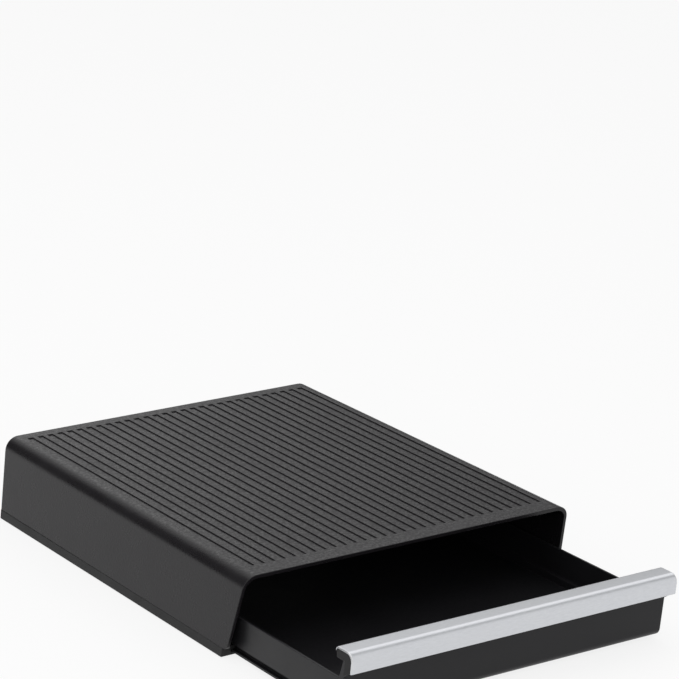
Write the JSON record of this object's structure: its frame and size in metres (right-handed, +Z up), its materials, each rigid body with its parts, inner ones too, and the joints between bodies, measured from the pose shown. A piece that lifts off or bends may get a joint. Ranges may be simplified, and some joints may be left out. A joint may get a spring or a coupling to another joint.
{
  "type": "capsule drawer",
  "caption": "Low black counter-top drawer for coffee capsules: flared housing with a channelled deck that carries a machine, and a slide-out tray with a silver finger pull.",
  "frame": {"origin": "on the counter, under the middle of the whole object with the drawer standing part open as pictured", "axes": "+Z up, +Y to the back of the housing, +X to the right of someone who faces the drawer"},
  "size_m": [0.276, 0.4478, 0.0622],
  "materials": {
    "housing_plastic": "fine matte moulded black",
    "runner_plastic": "plain matte black",
    "foot_rubber": "dull black rubber",
    "screw_steel": "zinc plated",
    "tray_plastic": "fine matte moulded black",
    "core_plastic": "plain matte black",
    "pull_silver": "satin silver"
  },
  "bodies": {
    "housing": {"housing_shell": "housing_plastic", "left_runner": "runner_plastic", "right_runner": "runner_plastic", "front_left_foot": "foot_rubber", "front_right_foot": "foot_rubber", "rear_left_foot": "foot_rubber", "rear_right_foot": "foot_rubber", "runner_screws": "screw_steel"},
    "drawer": {"drawer_tray": "tray_plastic", "pull_core": "core_plastic", "pull_strip": "pull_silver", "pull_screws": "screw_steel"}
  },
  "joints": [
    {"name": "drawer_slide", "type": "slide", "parent": "housing", "child": "drawer", "axis": [0, -1, 0], "range_m": [-0.118, 0.143]}
  ]
}
